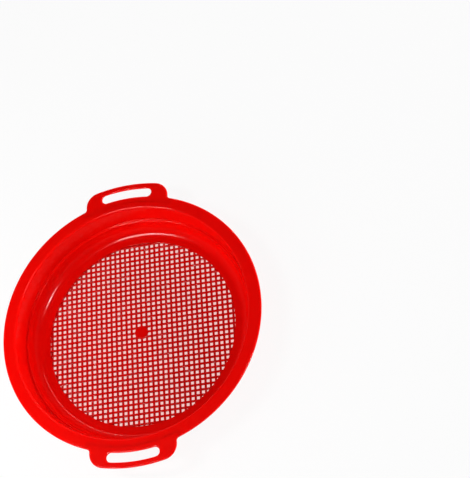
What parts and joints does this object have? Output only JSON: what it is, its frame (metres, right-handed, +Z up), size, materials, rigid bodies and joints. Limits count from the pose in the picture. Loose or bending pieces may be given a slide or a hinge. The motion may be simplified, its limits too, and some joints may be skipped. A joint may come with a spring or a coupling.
{
  "type": "sand sieve",
  "caption": "Round shallow sand sieve with a moulded square mesh floor, a stepped wall, a wide flat rim and a loop handle at each end, for sifting sand in play.",
  "frame": {"origin": "centre of the underside of the mesh, on the surface that the sieve stands on", "axes": "+Z up out of the pan's mouth, +Y along the handles towards the rear one, +X across them"},
  "size_m": [0.228, 0.2538, 0.033],
  "materials": {
    "red_plastic": "glossy moulded polypropylene"
  },
  "bodies": {
    "root": {"mesh_long_ribs": "red_plastic", "mesh_cross_ribs": "red_plastic", "gate_pad": "red_plastic", "mesh_border": "red_plastic", "lower_wall": "red_plastic", "stack_ledge": "red_plastic", "upper_wall": "red_plastic", "rim_flange": "red_plastic", "handle_front": "red_plastic", "handle_rear": "red_plastic"}
  },
  "joints": []
}
